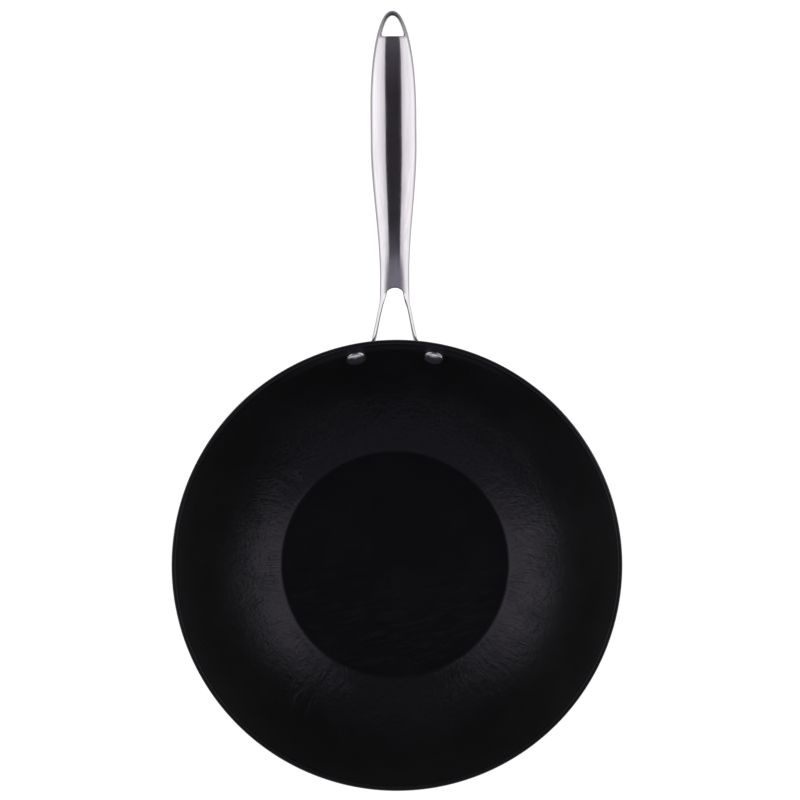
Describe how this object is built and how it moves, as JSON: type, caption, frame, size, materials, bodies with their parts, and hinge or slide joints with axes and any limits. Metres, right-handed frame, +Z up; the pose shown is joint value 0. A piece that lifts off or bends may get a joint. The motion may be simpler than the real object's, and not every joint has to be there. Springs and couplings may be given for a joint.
{
  "type": "wok",
  "caption": "Flat-based flared wok bowl with a black finish, and a long stamped steel handle with forked legs and a hang hole, riveted to the outside of the wall.",
  "frame": {"origin": "middle of the flat base's underside, where the wok stands on a hob", "axes": "+Z up out of the bowl, +Y from the bowl's middle along the handle, +X to the right"},
  "size_m": [0.2998, 0.5173, 0.1028],
  "materials": {
    "bowl_black": "satin black coating with fine radial wrinkles on the wall",
    "handle_steel": "brushed along the handle",
    "rivet_steel": "polished"
  },
  "bodies": {
    "root": {"wok_bowl": "bowl_black", "long_handle": "handle_steel", "left_rivet": "rivet_steel", "right_rivet": "rivet_steel"}
  },
  "joints": []
}
